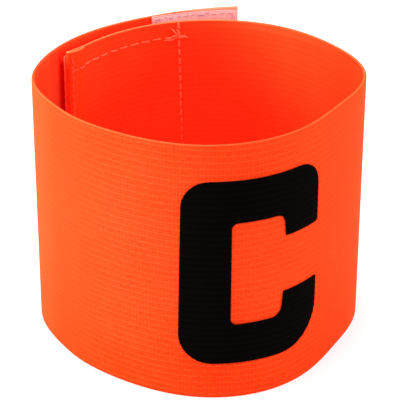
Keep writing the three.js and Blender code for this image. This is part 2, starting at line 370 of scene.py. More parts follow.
class ArmbandColours(bpy.types.PropertyGroup):
    """Colours of the armband."""

    # Ridge and groove colours: the weave's own, and also the lit and shaded ends of the webbing's
    # painted light and shade
    ridge: colour_setting("Ridge", "Webbing on its ridges", (1.0, 0.072, 0.0155))
    # Painted shade of the inner face at the loop's right
    inside_shade_colour: colour_setting("Deep inside", "Inner face at the right", (0.9, 0.013, 0.001))
    # Painted shadow in the gap beside the hem
    gap: colour_setting("Gap", "Inner face in the gap beside the hem", (0.66, 0.002, 0.001))
    # Painted light: glows that lift the webbing's shaded faces
    outer_glow: colour_setting("Outer glow", "Glow of the outer face", (0.4, 0.01, 0.0))
    inner_glow: colour_setting("Inner glow", "Glow of the inner face", (1.0, 0.02, 0.01))
    # Weaker glow of the painted gap shadow, then painted light through one layer
    gap_shadow_glow: colour_setting("Gap glow", "Glow in the gap beside the hem", (0.2, 0.0, 0.0))
    through_glow: colour_setting("Through glow", "Light through one layer", (1.0, 0.12, 0.045))
    groove: colour_setting("Groove", "Webbing in its grooves", (0.76, 0.028, 0.0008))
    inner_groove: colour_setting("Inner groove", "Grooves on the inner face", (0.84, 0.03, 0.001))
    # Painted highlight on the upper edge of the tail's end
    tail_edge_highlight: colour_setting("Tail edge", "Worn upper edge of the tail's end", (0.9, 0.29, 0.17))
    # Painted highlights on the rounded edges, stronger near the two ends
    end_selvage_highlight: colour_setting("End selvage", "Upper edge near the two ends", (1.0, 0.185, 0.062))
    selvage: colour_setting("Selvage", "Webbing on its two rounded edges", (1.0, 0.092, 0.024))
    thread: colour_setting("Thread", "Sewing thread on the webbing", (1.0, 0.21, 0.09))
    pile: colour_setting("Pile", "Soft loops of the closure", (0.98, 0.17, 0.09))
    # Painted shade on the soft patch's edge, below its top
    pile_edge_shade: colour_setting("Cut edge", "Edge of the soft patch", (0.8, 0.03, 0.015))
    tape: colour_setting("Tape", "Hook tape", (0.97, 0.6, 0.575))
    tape_weave: colour_setting("Tape weave", "Raised yarns of the hook tape", (1.0, 0.62, 0.6))
    # Painted shade on the hook tape towards the tail's end
    tape_end_shade: colour_setting("Tape end", "Hook tape towards the tail's end", (0.95, 0.4, 0.37))
    # Painted shade on the hook tape's rim
    tape_rim_shade: colour_setting("Tape edge", "Rim of the hook tape", (0.85, 0.36, 0.33))
    tape_shadow: colour_setting("Tape shadow", "Gaps between the hooks", (0.7, 0.36, 0.44))
    # The hook tape's thread: its own colour, and partly painted shade of the dimples its stitches
    # pull
    tape_thread_and_dimple_shade: colour_setting("Tape thread", "Sewing thread on the hook tape", (0.6, 0.35, 0.5))
    flock: colour_setting("Flock", "The letter's flock", (0.0012, 0.0008, 0.0007))
    floor: colour_setting("Floor", "Floor under the armband", (0.32, 0.32, 0.32))


GROUPS = {
    "armband_webbing": ArmbandWebbing,
    "armband_closure": ArmbandClosure,
    "armband_letter": ArmbandLetter,
    "armband_stitches": ArmbandStitches,
    "armband_colours": ArmbandColours,
}


def settings(context, *names):
    """Groups of the scene's settings, by name."""
    return [getattr(context.scene, "armband_" + name) for name in names]


# Working by hand: selections, edit mode and modifiers


def deselect_everything():
    """Leaves nothing selected, in object mode."""
    if bpy.context.object and bpy.context.object.mode != "OBJECT":
        bpy.ops.object.mode_set(mode="OBJECT")
    bpy.ops.object.select_all(action="DESELECT")


def take_up(piece):
    """Makes one piece the selected and active one."""
    deselect_everything()
    piece.select_set(True)
    bpy.context.view_layer.objects.active = piece


def choose(piece, kind, wanted):
    """Selects the vertices or faces, in edit mode, whose middle passes a test."""
    bpy.ops.mesh.select_mode(type=kind)
    bpy.ops.mesh.select_all(action="DESELECT")
    shape = bmesh.from_edit_mesh(piece.data)
    for part in shape.verts if kind == "VERT" else shape.faces:
        middle = part.co if kind == "VERT" else part.calc_center_median()
        part.select_set(bool(wanted(middle)))
    shape.select_flush_mode()
    bmesh.update_edit_mesh(piece.data)


def cut(x=None, y=None):
    """Cuts the whole flat piece, in edit mode, along one upright or level line."""
    bpy.ops.mesh.select_all(action="SELECT")
    where, facing = ((x, 0, 0), (1, 0, 0)) if y is None else ((0, y, 0), (0, 1, 0))
    bpy.ops.mesh.bisect(plane_co=where, plane_no=facing, threshold=1e-5)


def round_corners(piece, corners, radius, steps):
    """Rounds the corners, in edit mode, that stand at the given places."""
    places = np.array(corners)

    def at_corner(point):
        return np.hypot(places[:, 0] - point.x, places[:, 1] - point.y).min() < AT_CORNER

    choose(piece, "VERT", at_corner)
    bpy.ops.mesh.bevel(offset=radius, segments=steps, affect="VERTICES", clamp_overlap=False)


def add_modifier(piece, kind, **settings):
    """Adds a modifier, sets it and applies it."""
    take_up(piece)
    modifier = piece.modifiers.new(kind.title(), kind)
    for name, value in settings.items():
        setattr(modifier, name, value)
    bpy.ops.object.modifier_apply(modifier=modifier.name)


def thicken(piece, thickness, edge):
    """Gives the flat piece in hand its thickness and eased edges, and leaves edit mode."""
    bpy.ops.object.mode_set(mode="OBJECT")
    add_modifier(piece, "SOLIDIFY", thickness=thickness, offset=1.0)
    add_modifier(piece, "BEVEL", width=edge, segments=2, limit_method="ANGLE", angle_limit=1.0)


def flat_sheet(name, width, height):
    """A flat rectangle about the origin, in millimetres, left in edit mode."""
    deselect_everything()
    bpy.ops.mesh.primitive_plane_add(size=1)
    piece = bpy.context.object
    piece.name = piece.data.name = name
    bpy.ops.object.mode_set(mode="EDIT")
    bpy.ops.mesh.select_all(action="SELECT")
    bpy.ops.transform.resize(value=(width, height, 1))
    return piece


def grid_cuts(width, height, spacing):
    """Cuts the flat piece, in edit mode, into a grid fine enough to bend."""
    for axis, size, step in zip("xy", (width, height), spacing):
        for place in np.linspace(-size / 2, size / 2, max(2, round(size / step)) + 1)[1:-1]:
            cut(**{axis: place})


def points_of(piece):
    """The piece's vertices as rows of x, y and z."""
    points = np.empty(len(piece.data.vertices) * 3)
    piece.data.vertices.foreach_get("co", points)
    return points.reshape(-1, 3)


def set_points(piece, points):
    """Moves the piece's vertices."""
    piece.data.vertices.foreach_set("co", np.ascontiguousarray(points).ravel())
    piece.data.update()


def face_outwards(piece):
    """Turns the whole skin over where its faces point inwards."""
    piece.data.calc_loop_triangles()
    corners = np.empty(len(piece.data.loop_triangles) * 3, int)
    piece.data.loop_triangles.foreach_get("vertices", corners)
    a, b, c = points_of(piece)[corners.reshape(-1, 3)].transpose(1, 0, 2)
    if np.einsum("ij,ij->i", a, np.cross(b, c)).sum() < 0:
        piece.data.flip_normals()


def bend_onto_loop(piece, pattern=None):
    """Bends a flat piece, drawn in millimetres, onto the loop and keeps its flat places."""
    flat = points_of(piece)
    pattern = flat if pattern is None else pattern
    kept = piece.data.attributes.new("flat_place", "FLOAT_VECTOR", "POINT")
    kept.data.foreach_set("vector", np.ascontiguousarray(pattern, np.float32).ravel())
    set_points(piece, WALL.place(flat))
    face_outwards(piece)


def piece_from(name, points, faces):
    """A new piece from its points and faces."""
    mesh = bpy.data.meshes.new(name)
    mesh.from_pydata([tuple(point) for point in points], [], [tuple(face) for face in faces])
    mesh.validate()
    piece = bpy.data.objects.new(name, mesh)
    bpy.context.scene.collection.objects.link(piece)
    return piece


def toned(colour, *factors):
    """A colour with each of its channels multiplied, and none of them above one."""
    return tuple(min(1.0, channel * factor) for channel, factor in zip(colour, factors))


def finish_piece(piece, material, angle=40.0):
    """Shades a finished piece, gives it its material and makes it part of the armband."""
    take_up(piece)
    bpy.ops.object.shade_smooth_by_angle(angle=math.radians(angle))
    piece.data.materials.clear()
    piece.data.materials.append(material)
    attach(piece, "root")


def thread_shape(points, thickness, sides=1):
    """Points and faces of a thread that follows a path, with narrowed closed ends."""
    curve = bpy.data.curves.new("thread", "CURVE")
    curve.dimensions = "3D"
    curve.bevel_depth = thickness / 2
    curve.bevel_resolution = sides
    curve.use_fill_caps = True
    line = curve.splines.new("POLY")
    line.points.add(len(points) - 1)
    for spot, point in zip(line.points, points):
        spot.co = (*point, 1)
    for spot in (line.points[0], line.points[-1]):
        spot.radius = THREAD_TIP
    thread = bpy.data.objects.new("thread", curve)
    bpy.context.scene.collection.objects.link(thread)
    take_up(thread)
    bpy.ops.object.convert(target="MESH")
    thread = bpy.context.object
    points = points_of(thread)
    faces = [tuple(face.vertices) for face in thread.data.polygons]
    bpy.data.objects.remove(thread)
    return points, faces


def scatter(name, shape, places, turns, sizes):
    """Copies one small shape to many places, each turned about the upward axis and sized."""
    unit, faces = shape
    cosines, sines = np.cos(turns)[:, None], np.sin(turns)[:, None]
    scaled = unit[None] * sizes.reshape(len(places), 1, -1)
    x = scaled[..., 0] * cosines - scaled[..., 1] * sines
    y = scaled[..., 0] * sines + scaled[..., 1] * cosines
    points = np.stack([x, y, scaled[..., 2]], axis=-1) + places[:, None, :]
    copied = []
    for index in range(len(places)):
        shift = index * len(unit)
        copied.extend(tuple(corner + shift for corner in face) for face in faces)
    return piece_from(name, points.reshape(-1, 3), copied)


# Materials: a value on a socket, and the bench that joins the nodes


class Dial:
    """A number that varies over a surface, on which plain sums can be written."""

    def __init__(self, bench, socket):
        self.bench, self.socket = bench, socket

    def __add__(self, other):
        return self.bench.maths("ADD", self, other)

    __radd__ = __add__

    def __sub__(self, other):
        return self.bench.maths("SUBTRACT", self, other)

    def __rsub__(self, other):
        return self.bench.maths("SUBTRACT", other, self)

    def __mul__(self, other):
        return self.bench.maths("MULTIPLY", self, other)

    __rmul__ = __mul__

    def __truediv__(self, other):
        return self.bench.maths("DIVIDE", self, other)

    def __pow__(self, other):
        return self.bench.maths("POWER", self, other)


class Bench:
    """One material and the nodes that make it."""

    def __init__(self, name, **finish):
        self.material = bpy.data.materials.new(name)
        self.material.use_nodes = True
        self.nodes = self.material.node_tree.nodes
        self.links = self.material.node_tree.links
        self.shader = self.nodes["Principled BSDF"]
        for socket, value in finish.items():
            name = socket.replace("_", " ").title().replace("Ior", "IOR")
            self.shader.inputs[name].default_value = value

    @cached_property
    def flat_place(self):
        """Distance along the strip, height on it and offset from it, in millimetres."""
        place = self.node("ShaderNodeAttribute", {"attribute_name": "flat_place"})
        parts = self.node("ShaderNodeSeparateXYZ", {}, Vector=place.outputs["Vector"])
        return [Dial(self, parts.outputs[axis]) for axis in range(3)]

    def node(self, kind, settings=None, **inputs):
        """Adds a node: its settings first, then the values or links of its sockets."""
        node = self.nodes.new(kind)
        for name, value in (settings or {}).items():
            setattr(node, name, value)
        for name, value in inputs.items():
            numbered = name[0] == "i" and name[1:].isdigit()
            self.join(value, node.inputs[int(name[1:]) if numbered else name])
        return node

    def join(self, value, socket):
        """Links a dial or a socket, or sets a plain value."""
        if isinstance(value, Dial):
            self.links.new(value.socket, socket)
        elif isinstance(value, bpy.types.NodeSocket):
            self.links.new(value, socket)
        else:
            socket.default_value = value

    def maths(self, operation, *values):
        """One step of arithmetic on dials and numbers."""
        inputs = {f"i{place}": value for place, value in enumerate(values)}
        node = self.node("ShaderNodeMath", {"operation": operation}, **inputs)
        return Dial(self, node.outputs[0])

    def limited(self, value):
        """A dial held between nought and one."""
        node = self.node("ShaderNodeClamp", {}, Value=value)
        return Dial(self, node.outputs[0])

    def noise(self, place, scale, detail=2.0, roughness=0.5):
        """Cloudy variation from nought to one."""
        node = self.node(
            "ShaderNodeTexNoise", {}, Vector=place, Scale=scale, Detail=detail, Roughness=roughness
        )
        return Dial(self, node.outputs["Fac"])

    def grain(self, along, up, detail=2.0, roughness=0.5, layer=0.0):
        """Noise on the flat strip, with this many changes in a millimetre along and up it."""
        distance, height, _ = self.flat_place
        place = self.node("ShaderNodeCombineXYZ", {}, X=distance * along, Y=height * up, Z=layer)
        return self.noise(place.outputs[0], 1.0, detail, roughness)

    def fuzz(self, scale, detail=2.0, roughness=0.5):
        """Noise through a flat piece's thickness too, with this many changes in a millimetre."""
        distance, height, outward = self.flat_place
        place = self.node("ShaderNodeCombineXYZ", {}, X=distance, Y=height, Z=outward)
        return self.noise(place.outputs[0], scale, detail, roughness)

    def wave(self, turns):
        """Smooth wave from nought to one, once for each whole turn."""
        return 0.5 - 0.5 * self.maths("COSINE", turns * (2 * math.pi))

    def ramp(self, value, low, high):
        """Nought below the low value, one above the high one, and smooth between them."""
        settings = {"interpolation_type": "SMOOTHSTEP"}
        node = self.node("ShaderNodeMapRange", settings, Value=value, i1=low, i2=high)
        return Dial(self, node.outputs["Result"])

    def stretch(self, places):
        """One on a stretch of the strip and nought elsewhere, smooth at both ends."""
        distance = self.flat_place[0]
        return self.ramp(distance, *places[:2]) * (1 - self.ramp(distance, *places[2:]))

    def facing_out(self):
        """One on the outer face of the strip and nought on the inner one."""
        return self.ramp(self.flat_place[2], *INNER_TO_OUTER)

    def blend(self, share, first, second):
        """Mixes two colours, each given by a socket or by its three channels."""
        node = self.node("ShaderNodeMix", {"data_type": "RGBA"})
        self.join(share, node.inputs[0])
        for value, socket in ((first, node.inputs[6]), (second, node.inputs[7])):
            is_socket = isinstance(value, bpy.types.NodeSocket)
            self.join(value if is_socket else (*value, 1), socket)
        return node.outputs[2]

    def finish(self, colour, roughness, height, depth):
        """Joins the colour, the roughness and the fine relief to the shader."""
        self.join(colour, self.shader.inputs["Base Color"])
        self.join(roughness, self.shader.inputs["Roughness"])
        bump = self.node("ShaderNodeBump", {}, Height=height, Strength=1.0, Distance=depth)
        self.join(bump.outputs[0], self.shader.inputs["Normal"])
        return self.material


def webbing_material(colours, webbing):
    """Fluorescent elastic webbing: ridges, yarns along them and weft picks across them."""
    bench = Bench(
        "orange_ribbed_webbing",
        sheen_weight=0.205,
        sheen_roughness=0.22,
        sheen_tint=(1.0, 0.35, 0.09, 1.0),
        specular_ior_level=0.03,
        emission_strength=0.2,
    )
    distance, height, outward = bench.flat_place
    outside = bench.facing_out()
    inside = 1 - outside
    # The weave; each ridge's thin light line is the rib's own and partly a painted highlight
    ribs = (height - SELVAGE) * (webbing.ribs / RIB_BODY)
    line = bench.wave(ribs) ** 3
    fine_ridge = bench.wave(ribs * 2.0)
    broken = bench.grain(0.25, 0.9, 3.0, 0.65)
    yarn = bench.grain(0.8, 4.0, 2.0, 0.6)
    speck = bench.grain(1.6, 1.9, 2.0, 0.7, 7.0)
    cloud = bench.grain(0.03, 0.05)
    blotch = bench.grain(0.12, 0.03, layer=3.0)
    picks = bench.wave(distance / PICK_SPACING + broken * 0.5)
    weft = bench.wave(distance / WEFT_SPACING + broken * 0.4)
    lit = line * 0.29 - (fine_ridge - 0.5) * 0.08 + (picks + weft - 1) * broken * 0.26
    lit = lit + (broken - 0.5) * 0.5 + (yarn - 0.5) * 1.5 + (speck - 0.5) * 0.9
    lit = lit + (cloud - 0.5) * 0.5
    # Flatter ribs, then light and shade along and up the strip
    flatter = bench.ramp(distance, *FLAT_LEFT) + 1 - bench.ramp(distance, *FLAT_END)
    flatter = bench.limited(flatter + bench.stretch(FLAT_BEND))
    foot = 1 - bench.ramp(height, *FOOT_SHADE)
    deep = (1 - bench.ramp(height, *DEEP_SHADE)) * inside
    # Painted highlights on the outer face at the loop's right and left sides
    side_highlights = bench.stretch(RIGHT_SIDE_HIGHLIGHT) + bench.stretch(LEFT_SIDE_HIGHLIGHT)
    inner_ribs = 0.48 - bench.ramp(distance, *RIBS_FADE) * 0.1
    lit = lit * bench.maths("MAXIMUM", outside, inner_ribs) * (1 - flatter * 0.7)
    lit = lit + (blotch - 0.5) * 0.35 * inside + side_highlights * outside * 0.28
    lit = bench.limited(0.42 - foot * 0.25 - deep * 0.2 + lit)
    cloth = bench.blend(outside, colours.inner_groove, colours.groove)
    cloth = bench.blend(lit, cloth, colours.ridge)
    # Painted shade: the inner face turns a deeper red at the loop's right
    inside_shade_share = bench.stretch(INSIDE_SHADE_STRETCH) * inside
    cloth = bench.blend(inside_shade_share * 0.6, cloth, colours.inside_shade_colour)
    # Painted shadow in the gap beside the hem; painted light through one layer before it
    gap = bench.stretch(GAP_SHADOW) * inside * (1 - bench.ramp(height, *GAP_TOP))
    through = bench.stretch(SHINE_THROUGH) * inside
    cloth = bench.blend(gap, cloth, colours.gap)
    # Painted light: a glow lifts the shaded webbing, more on the inner face
    glow = bench.blend(outside, colours.inner_glow, colours.outer_glow)
    glow = bench.blend(through, glow, colours.through_glow)
    glow = bench.blend(gap, glow, colours.gap_shadow_glow)
    bench.join(glow, bench.shader.inputs["Emission Color"])
    # Painted highlights on the selvages, more near both ends, and near the top of the inner face
    near_end = 1 - bench.ramp(distance, *HEM_END_HIGHLIGHT) + bench.ramp(distance, *TAIL_END_HIGHLIGHT)
    selvage = bench.blend(near_end, colours.selvage, colours.end_selvage_highlight)
    top_shine = bench.ramp(height, *TOP_SHINE) * inside * (1 - near_end) * (1 - inside_shade_share)
    cloth = bench.blend(top_shine * 0.3, cloth, selvage)
    edge = 1 - bench.ramp(bench.maths("ABSOLUTE", outward), *ROUNDED_EDGE)
    colour = bench.blend(edge, cloth, selvage)
    # Painted highlight on the inner face's upper edge near the tail's end
    tail_edge_highlight = bench.ramp(distance, *TAIL_END) * bench.ramp(height, *TAIL_TOP) * inside
    colour = bench.blend(tail_edge_highlight, colour, colours.tail_edge_highlight)
    relief = line * 0.8 - fine_ridge * 0.1 + picks * 0.2 + yarn * 0.35 + speck * 0.3
    relief = relief * (0.3 + outside * 0.7) * (1 - flatter * 0.6)
    return bench.finish(colour, 0.72 + yarn * 0.2, relief, 0.00012)


def thread_material(name, colour, glow):
    """Twisted sewing thread, lighter where the plies stand out."""
    # Painted light: the glow, where given, lifts the thread in shade
    bench = Bench(
        name, specular_ior_level=0.1, emission_color=(1.0, 0.1, 0.05, 1.0), emission_strength=glow
    )
    distance, height, outward = bench.flat_place
    ply = bench.wave((distance + height) * 2.6 + outward * 3.0)
    fuzz = bench.fuzz(5.0)
    lit = bench.limited(ply * 0.6 + fuzz * 0.5)
    shade = bench.blend(lit, toned(colour, 0.93, 0.7, 0.6), colour)
    # Painted shade: thread on the inner face darker towards the foot; thread is also darker near
    # the hem's end
    low = (1 - bench.ramp(height, *INNER_SEAM_SHADE)) * (1 - bench.facing_out())
    clear = (bench.ramp(distance, *THREAD_FADE) * 0.8 + 0.2) * (1 - low * 0.88)
    shade = bench.blend(clear, toned(colour, 0.93, 0.3, 0.2), shade)
    return bench.finish(shade, 0.55 + fuzz * 0.25, ply + fuzz * 0.5, 0.00006)


def pile_material(colours):
    """Brushed soft loops, ruffled, on their woven tape."""
    bench = Bench(
        "brushed_loop_pile",
        sheen_weight=0.2,
        sheen_roughness=0.6,
        sheen_tint=(1.0, 0.5, 0.4, 1.0),
        specular_ior_level=0.1,
        # Painted light: a glow that lifts the pile in shade
        emission_color=(1.0, 0.06, 0.03, 1.0),
        emission_strength=0.12,
    )
    distance, height, _ = bench.flat_place
    fluff = bench.fuzz(2.6, 4.0, 0.65)
    lit = bench.limited(fluff * 0.9 + bench.grain(0.2, 0.2) * 0.3 - 0.1)
    shade = bench.blend(lit, toned(colours.pile, 0.85, 0.5, 0.45), colours.pile)
    # Painted shade: the soft patch's first edge darker below its top
    pile_edge_shade = (1 - bench.ramp(distance, *PILE_EDGE_SHADE)) * (1 - bench.ramp(height, *PILE_EDGE_SHADE_TOP))
    shade = bench.blend(pile_edge_shade * 0.8, shade, colours.pile_edge_shade)
    return bench.finish(shade, 0.82 + fluff * 0.15, fluff, 0.0002)


def tape_material(colours):
    """Pale pink nylon hook tape with woven rows and small grey violet shadows."""
    bench = Bench("pink_hook_tape", specular_ior_level=0.15)
    distance, height, _ = bench.flat_place
    rows = bench.wave(distance / HOOK_ROW_SPACING)
    weave = bench.wave(height / TAPE_YARN_SPACING + rows * 0.5)
    mottle = bench.grain(1.4, 1.4, 3.0, 0.6)
    gaps = bench.ramp(mottle, 0.5, 0.7)
    top = HOOK_PATCH_TOP - (distance - HOOK_PATCH_START) * HOOK_PATCH_SLOPE
    past_edge = bench.ramp(distance, HOOK_PATCH_START + 0.5, HOOK_PATCH_START + 1.1)
    pale = bench.blend(weave * 0.3, colours.tape, colours.tape_weave)
    # Painted shade: the hook tape darker and redder towards the tail's end
    towards_end = bench.ramp(distance, HOOK_PATCH_START + 4, WALL.length)
    pale = bench.blend(towards_end * 0.7, pale, colours.tape_end_shade)
    # Painted shade: a darker rim along the hook tape's first edge and top
    pale = bench.blend(past_edge * bench.ramp(top - height, 0.1, 0.5), colours.tape_rim_shade, pale)
    shade = bench.blend(gaps * 0.6, pale, colours.tape_shadow)
    return bench.finish(shade, 0.45 + mottle * 0.3, rows * 0.5 + weave * 0.5, 0.00008)


def flock_material(colours, webbing):
    """Black flock: short upright fibres that show the ribs below."""
    bench = Bench(
        "black_flock", sheen_weight=0.004, sheen_roughness=0.3, specular_ior_level=0.01
    )
    ridge = bench.wave((bench.flat_place[1] - SELVAGE) * (webbing.ribs / RIB_BODY))
    fibres = bench.fuzz(6.0, 3.0, 0.7)
    worn = bench.grain(0.15, 0.4, 3.0, 0.6)
    lit = bench.limited(fibres * 0.6 + ridge * 0.25 + worn * 0.3 - 0.2)
    shade = bench.blend(lit, colours.flock, toned(colours.flock, 2.6, 2.6, 2.6))
    return bench.finish(shade, 0.86 + fibres * 0.12, fibres * 0.7 + ridge * 0.5, 0.00012)


def floor_material(colours):
    """Plain pale floor, lit from below like a light table but for a dimmer disc under the loop."""
    bench = Bench("pale_floor", specular_ior_level=0.0, emission_strength=0.8)
    place = bench.node("ShaderNodeTexCoord").outputs["Object"]
    mottle = bench.noise(place, 3.0)
    far = bench.node("ShaderNodeVectorMath", {"operation": "LENGTH"}, i0=place)
    # Painted shadow: the floor glows less in a disc under the loop
    open_floor = bench.ramp(Dial(bench, far.outputs["Value"]), *FLOOR_SHADOW_DISC)
    glow = bench.blend(open_floor, (0.4, 0.4, 0.4), (1.0, 1.0, 1.0))
    bench.join(glow, bench.shader.inputs["Emission Color"])
    shade = bench.blend(mottle, toned(colours.floor, 0.99, 0.99, 0.99), colours.floor)
    return bench.finish(shade, 0.9 + mottle * 0.05, mottle, 0.00001)


# The webbing


def folded_layer(distance, webbing, pressed):
    """Offset of the folded layer's middle, with its raw edge pressed towards the strip."""
    share = np.clip((HEM_LENGTH - distance) / (HEM_LENGTH - FOLD_CENTRE), 0, 1)
    puff = webbing.hem_puff / MM * np.sin(math.pi * share) ** 2
    return pressed * np.exp((distance - HEM_LENGTH) / PRESSED_LENGTH) - 2 * FOLD_RADIUS - puff


def hem_path(webbing):
    """Middle line of the webbing from the hem's raw edge, round the fold and to the tail's end."""
    back = np.linspace(HEM_LENGTH, FOLD_CENTRE + FOLD_CLEAR, 9)
    folded = np.stack([back, folded_layer(back, webbing, PRESSED_MIDDLE)], axis=1)
    angles = np.radians(np.linspace(-90, 90, 9))
    fold = np.stack([-np.cos(angles), np.sin(angles) - 1], axis=1) * FOLD_RADIUS + (FOLD_CENTRE, 0)
    near = np.arange(FOLD_CENTRE + FOLD_CLEAR, HEM_LENGTH + 2, HEM_STATION)
    count = round((WALL.length - near[-1]) / (webbing.station / MM))
    far = np.linspace(near[-1], WALL.length, count + 1)[1:]
    ahead = np.concatenate([near, far])
    main = np.stack([ahead, np.zeros(len(ahead))], axis=1)
    return np.concatenate([folded, fold, main])


def webbing_strip(webbing):
    """The whole strip of webbing, with its folded hem, ribs and rounded selvages."""
    path = hem_path(webbing)
    steps = np.hypot(*np.diff(path, axis=0).T)
    run = np.concatenate([[0], np.cumsum(steps)]) - HEM_LENGTH
    ahead = np.gradient(path, axis=0)
    ahead /= np.linalg.norm(ahead, axis=1)[:, None]
    across = np.stack([-ahead[:, 1], ahead[:, 0]], axis=1)
    lip = np.array(SELVAGE_STEPS)
    body = np.linspace(SELVAGE, BAND_WIDTH - SELVAGE, webbing.ribs * RIB_STEPS + 1)
    rows = np.concatenate([lip, body, BAND_WIDTH - lip[::-1]])
    to_edge = np.minimum(rows, BAND_WIDTH - rows)
    roundness = np.sqrt(1 - (1 - np.clip(to_edge / SELVAGE, 0, 1)) ** 2).clip(0.25)
    # The cut ends are pinched: the hem's by half and the tail's by a fifth
    pinch = 1 - 0.5 * np.exp((run[0] - run) / 1.2) - 0.2 * np.exp((run - run[-1]) / 0.8)
    grid_run, grid_rows = np.meshgrid(run, rows, indexing="ij")
    points, pattern = [], []
    for side, rise in ((1, 0.0), (-1, 0.5)):
        relief = rib_relief(grid_run, grid_rows + rise * RIB_BODY / webbing.ribs, webbing.ribs)
        relief *= 1 if side > 0 else 0.2
        half = side * roundness * (webbing.half_thickness / MM + webbing.rib_rise / MM * relief)
        pinched = half * pinch[:, None]
        distance = path[:, :1] + across[:, :1] * pinched
        outward = path[:, 1:] + across[:, 1:] * pinched
        phase = rib_phase(grid_run, grid_rows, webbing.ribs) + rise
        lined = phase * RIB_BODY / webbing.ribs + SELVAGE
        points.append(np.stack([distance, grid_rows, outward], axis=-1))
        pattern.append(np.stack([grid_run, lined, half], axis=-1))
    ring = np.concatenate([points[0], points[1][:, ::-1]], axis=1)
    rings = np.concatenate([pattern[0], pattern[1][:, ::-1]], axis=1)
    stations, around = ring.shape[:2]
    index = np.arange(stations * around).reshape(stations, around)
    follow = np.roll(index, -1, axis=1)
    quads = np.stack([index[:-1], follow[:-1], follow[1:], index[1:]], axis=-1).reshape(-1, 4)
    count = len(rows)
    caps = []
    for station, flip in ((0, False), (-1, True)):
        outer, inner = index[station, :count], index[station, count:][::-1]
        cap = np.stack([outer[:-1], inner[:-1], inner[1:], outer[1:]], axis=-1)
        caps.append(cap[:, ::-1] if flip else cap)
    faces = np.concatenate([quads, *caps])
    piece = piece_from("webbing_band", ring.reshape(-1, 3), faces.tolist())
    bend_onto_loop(piece, rings.reshape(-1, 3))
    return piece


class ARMBAND_OT_webbing(bpy.types.Operator):
    """Weave the ribbed strip with its hem"""

    bl_idname = "armband.webbing"
    bl_label = "Ribbed Webbing"

    def execute(self, context):
        webbing, colours = settings(context, "webbing", "colours")
        piece = webbing_strip(webbing)
        finish_piece(piece, webbing_material(colours, webbing), 60)
        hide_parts("band")
        return {"FINISHED"}


# The closure


def tape_base(name, length, height, closure):
    """A woven tape with rounded corners, flat about the origin, cut fine enough to bend."""
    piece = flat_sheet(name, length, height)
    ends = [(x * length / 2, y * height / 2) for x in (-1, 1) for y in (-1, 1)]
    round_corners(piece, ends, closure.corner / MM, 4)
    grid_cuts(length, height, TAPE_GRID)
    thicken(piece, closure.tape / MM, TAPE_EDGE)
    return piece


def pile_loop(closure):
    """One soft loop of pile, standing on its two feet."""
    rise = closure.pile / MM
    angles = np.radians(np.linspace(-25, 205, 6))
    heights = rise * (0.5 + 0.5 * np.sin(angles))
    path = np.stack([0.2 * np.cos(angles), 0.05 * np.sin(2 * angles), heights], axis=1)
    return thread_shape(path, PILE_THREAD, 0)


def tape_hook(closure):
    """One stiff hook, bent over at its top."""
    rise = closure.hook / MM
    side_highlights = ((0, -0.1 / rise), (0, 0.6), (0.05, 0.88), (0.17, 0.95), (0.26, 0.7))
    return thread_shape([(x, 0, z * rise) for x, z in side_highlights], HOOK_THREAD, 0)


def sew_on(tape, bits, material, node):
    """Bends a tape and the small parts on it onto the loop, in place of the solid patch."""
    for piece in (tape, bits):
        bend_onto_loop(piece)
        finish_piece(piece, material)
    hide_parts(node)


class ARMBAND_OT_loop_patch(bpy.types.Operator):
    """Sew on the soft patch with its pile"""

    bl_idname = "armband.loop_patch"
    bl_label = "Loop Patch"

    def execute(self, context):
        closure, colours = settings(context, "closure", "colours")
        height = BAND_WIDTH - 2 * LOOP_PATCH_MARGIN
        tape = tape_base("loop_pile_tape", LOOP_PATCH_LENGTH, height, closure)
        middle = (LOOP_PATCH_LENGTH - FOLD_REACH) / 2
        centre = np.array([middle, BAND_WIDTH / 2, LOOP_TAPE_OFFSET])
        set_points(tape, points_of(tape) + centre)
        chance = np.random.default_rng(11)
        count = closure.loops
        spread = np.array([LOOP_PATCH_LENGTH, height]) - 2 * PILE_MARGIN
        places = np.zeros((count, 3))
        places[:, :2] = (chance.random((count, 2)) - 0.5) * spread
        places += centre + (0, 0, closure.tape / MM)
        turns = chance.random(count) * 2 * math.pi
        sizes = 0.75 + 0.5 * chance.random(count)
        pile = scatter("loop_pile_loops", pile_loop(closure), places, turns, sizes)
        sew_on(tape, pile, pile_material(colours), "loop_patch")
        return {"FINISHED"}


class ARMBAND_OT_hook_patch(bpy.types.Operator):
    """Sew on the hook tape with its hooks"""

    bl_idname = "armband.hook_patch"
    bl_label = "Hook Patch"

    def execute(self, context):
        closure, colours = settings(context, "closure", "colours")
        tape = tape_base("hook_tape_base", HOOK_PATCH_LENGTH, HOOK_PATCH_HEIGHT, closure)
        chance = np.random.default_rng(23)
        rows = (
            np.arange(1 - size / 2, size / 2 - 0.5, closure.hook_spacing / MM)
            for size in (HOOK_PATCH_LENGTH, HOOK_PATCH_HEIGHT)
        )
        grid = np.stack([axis.ravel() for axis in np.meshgrid(*rows)], axis=1)
        count = len(grid)
        places = np.full((count, 3), closure.tape / MM)
        places[:, :2] = grid + (chance.random(grid.shape) - 0.5) * HOOK_STRAY
        turns = np.where(chance.random(count) < 0.5, 0, math.pi)
        turns = turns + chance.normal(0, 0.25, count)
        sizes = 0.9 + 0.2 * chance.random(count)
        hooks = scatter("hook_tape_hooks", tape_hook(closure), places, turns, sizes)
        for piece in (tape, hooks):
            set_points(piece, hook_patch_places(points_of(piece)))
        sew_on(tape, hooks, tape_material(colours), "hook_patch")
        return {"FINISHED"}


def hook_patch_places(points):
    """Places about the hook patch's middle, face up, set face in where it is sewn on the tail."""
    along = points[:, 0] + HOOK_PATCH_LENGTH / 2
    distance = WALL.length - (HOOK_PATCH_LENGTH - along) * HOOK_PATCH_CUT
    height = points[:, 1] - HOOK_PATCH_HEIGHT / 2 + HOOK_PATCH_TOP - HOOK_PATCH_SLOPE * along
    return np.stack([distance, height, -points[:, 2] - HOOK_TAPE_OFFSET], axis=1)


